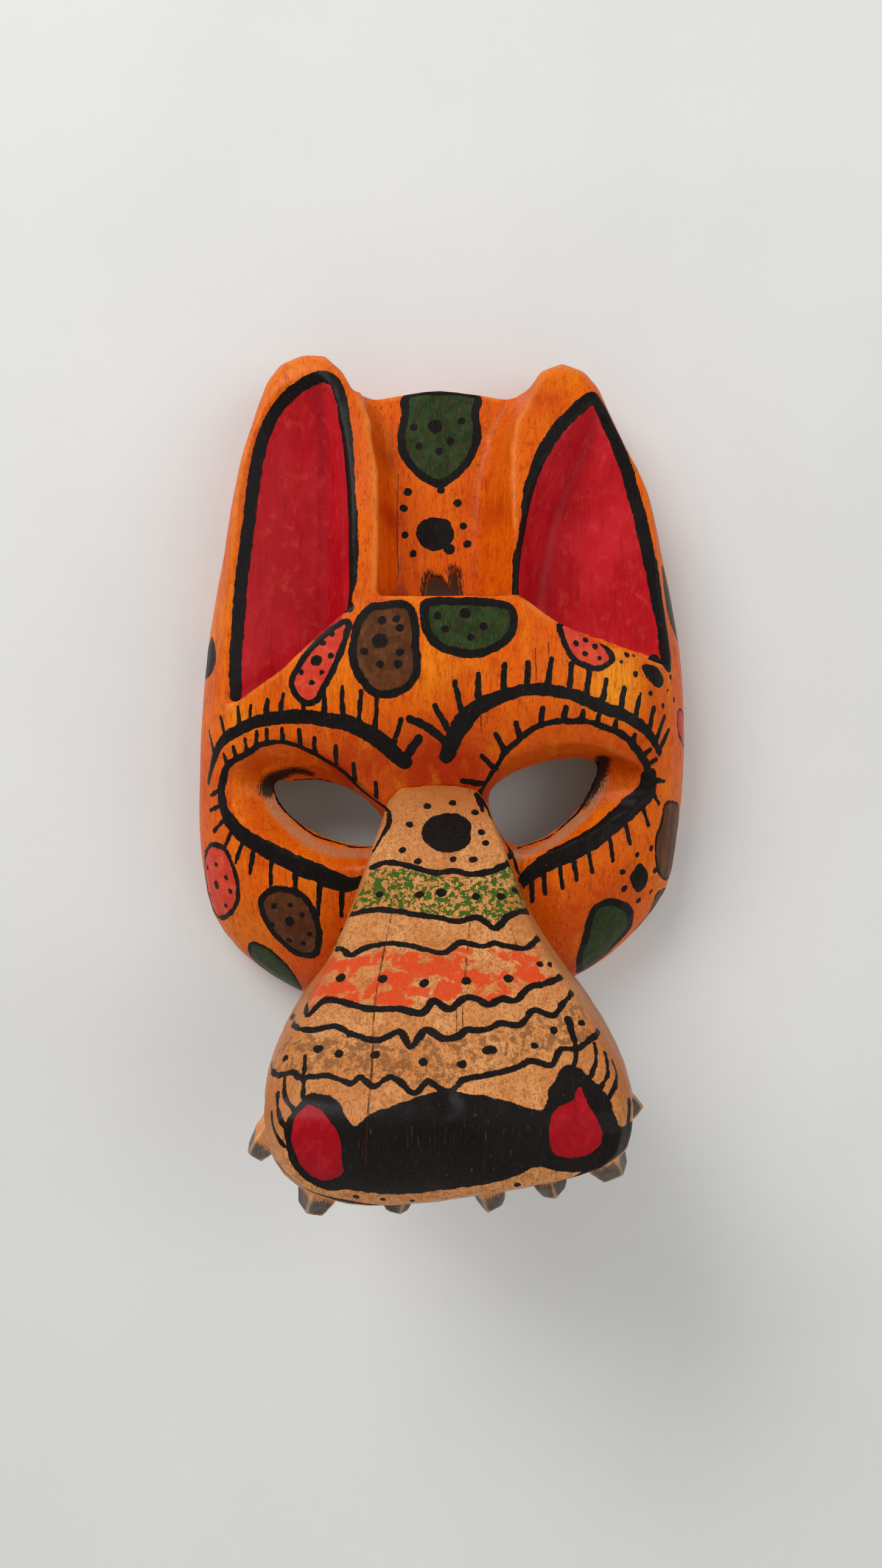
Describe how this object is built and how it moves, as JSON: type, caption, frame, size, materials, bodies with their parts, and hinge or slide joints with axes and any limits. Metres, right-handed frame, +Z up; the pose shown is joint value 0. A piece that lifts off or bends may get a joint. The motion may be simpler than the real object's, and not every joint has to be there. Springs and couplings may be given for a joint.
{
  "type": "carved animal mask",
  "caption": "Carved and painted wooden mask of a spotted cat with upright hollow ears, almond eye holes, a long flared muzzle and splayed peg teeth, hollowed behind for a face.",
  "frame": {"origin": "in the plane of the back rim, behind the slot in the forehead that a nail holds", "axes": "+Z up the mask towards the ears, +Y out of the back, so the face looks along -Y, +X towards the viewer's right"},
  "size_m": [0.1818, 0.1311, 0.2825],
  "materials": {
    "face_wood": "orange stain under a satin varnish, painted spots and lashes",
    "ear_wood": "orange stain outside, red paint inside, black outline, satin varnish",
    "muzzle_wood": "bare light wood with painted bands and lines under a satin varnish",
    "tooth_wood": "stained sides and dark painted ends, satin varnish",
    "peg_wood": "bare"
  },
  "bodies": {
    "root": {"face_shell": "face_wood", "ear_left": "ear_wood", "ear_right": "ear_wood", "muzzle": "muzzle_wood", "tooth_left_4": "tooth_wood", "tooth_left_3": "tooth_wood", "tooth_left_2": "tooth_wood", "tooth_left_1": "tooth_wood", "tooth_right_1": "tooth_wood", "tooth_right_2": "tooth_wood", "tooth_right_3": "tooth_wood", "tooth_right_4": "tooth_wood", "ear_peg_left_upper": "peg_wood", "ear_peg_left_lower": "peg_wood", "ear_peg_right_upper": "peg_wood", "ear_peg_right_lower": "peg_wood", "muzzle_peg_left": "peg_wood", "muzzle_peg_right": "peg_wood"}
  },
  "joints": []
}
